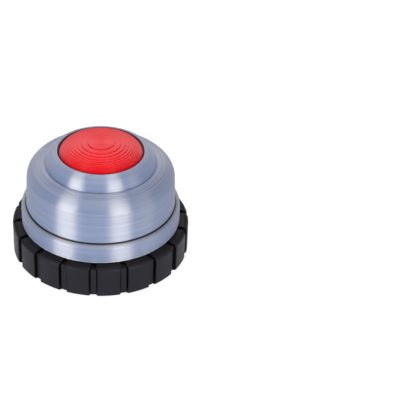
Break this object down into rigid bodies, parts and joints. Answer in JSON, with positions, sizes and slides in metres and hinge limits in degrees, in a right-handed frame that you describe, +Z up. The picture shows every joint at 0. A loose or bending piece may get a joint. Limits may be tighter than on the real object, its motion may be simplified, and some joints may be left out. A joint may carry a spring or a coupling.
{
  "type": "quiz buzzer",
  "caption": "Tabletop answer buzzer: a domed silver housing on a lobed grip ring, with a large sprung push button over a switch board, speaker and cells.",
  "frame": {"origin": "centre of the base on the table top, under the middle of the button", "axes": "+Z up along the button's axis; +Y towards the speaker side, -Y towards the battery bay; +X towards the power switch"},
  "size_m": [0.0878, 0.088, 0.0613],
  "materials": {
    "silver_shell": "silk-silver printed plastic with fine horizontal layer lines",
    "black_grip": "black satin plastic",
    "red_button": "satin red printed plastic",
    "black_base": "black matte plastic",
    "inner_plastic": "dark grey moulded plastic",
    "spring_steel": "bright drawn wire",
    "screw_steel": "zinc-plated steel",
    "board_green": "green solder mask",
    "switch_black": "black nylon",
    "white_nylon": "natural white nylon",
    "chip_black": "black moulded epoxy",
    "capacitor_blue": "blue sleeved aluminium can",
    "resistor_tan": "tan lacquer",
    "cell_wrap": "plain wrapped steel can",
    "nickel_contact": "nickel-plated spring steel",
    "speaker_steel": "pressed steel, dark coating",
    "magnet": "ferrite with a steel yoke",
    "speaker_paper": "black pulp paper",
    "switch_steel": "tinned steel can",
    "foot_rubber": "black rubber"
  },
  "bodies": {
    "housing": {"grip_ring": "black_grip", "lower_housing": "silver_shell", "upper_housing": "silver_shell", "return_spring": "spring_steel", "guide_frame": "inner_plastic", "mechanism_deck": "inner_plastic", "circuit_board": "board_green", "switch_body": "switch_black", "controller_chip": "chip_black", "capacitors": "capacitor_blue", "resistors": "resistor_tan", "lead_sockets": "white_nylon", "base_plate": "black_base", "battery_door": "black_base", "batteries": "cell_wrap", "battery_springs": "nickel_contact", "battery_contacts": "nickel_contact", "speaker_frame": "speaker_steel", "speaker_magnet": "magnet", "speaker_cone": "speaker_paper", "power_switch_body": "switch_steel", "rubber_feet": "foot_rubber", "base_screws": "screw_steel", "housing_screws": "screw_steel", "guide_screws": "screw_steel", "board_screws": "screw_steel", "speaker_screws": "screw_steel", "door_screw": "screw_steel"},
    "button": {"button_cap": "red_button"},
    "switch_plunger": {"switch_plunger": "white_nylon"},
    "power_knob": {"power_switch_knob": "white_nylon"}
  },
  "joints": [
    {"name": "button_press", "type": "slide", "parent": "housing", "child": "button", "axis": [0, 0, -1], "range_m": [0, 0.003], "stiffness_N_per_m": 700, "springref_m": -0.004, "deforming": ["return_spring"]},
    {"name": "switch_press", "type": "slide", "parent": "housing", "child": "switch_plunger", "axis": [0, 0, -1], "range_m": [0, 0.003]},
    {"name": "power_slide", "type": "slide", "parent": "housing", "child": "power_knob", "axis": [1, 0, 0], "range_m": [0, 0.0024]}
  ],
  "couplings": [
    {"joint": "switch_press", "follows": "button_press", "ratio": 1}
  ]
}
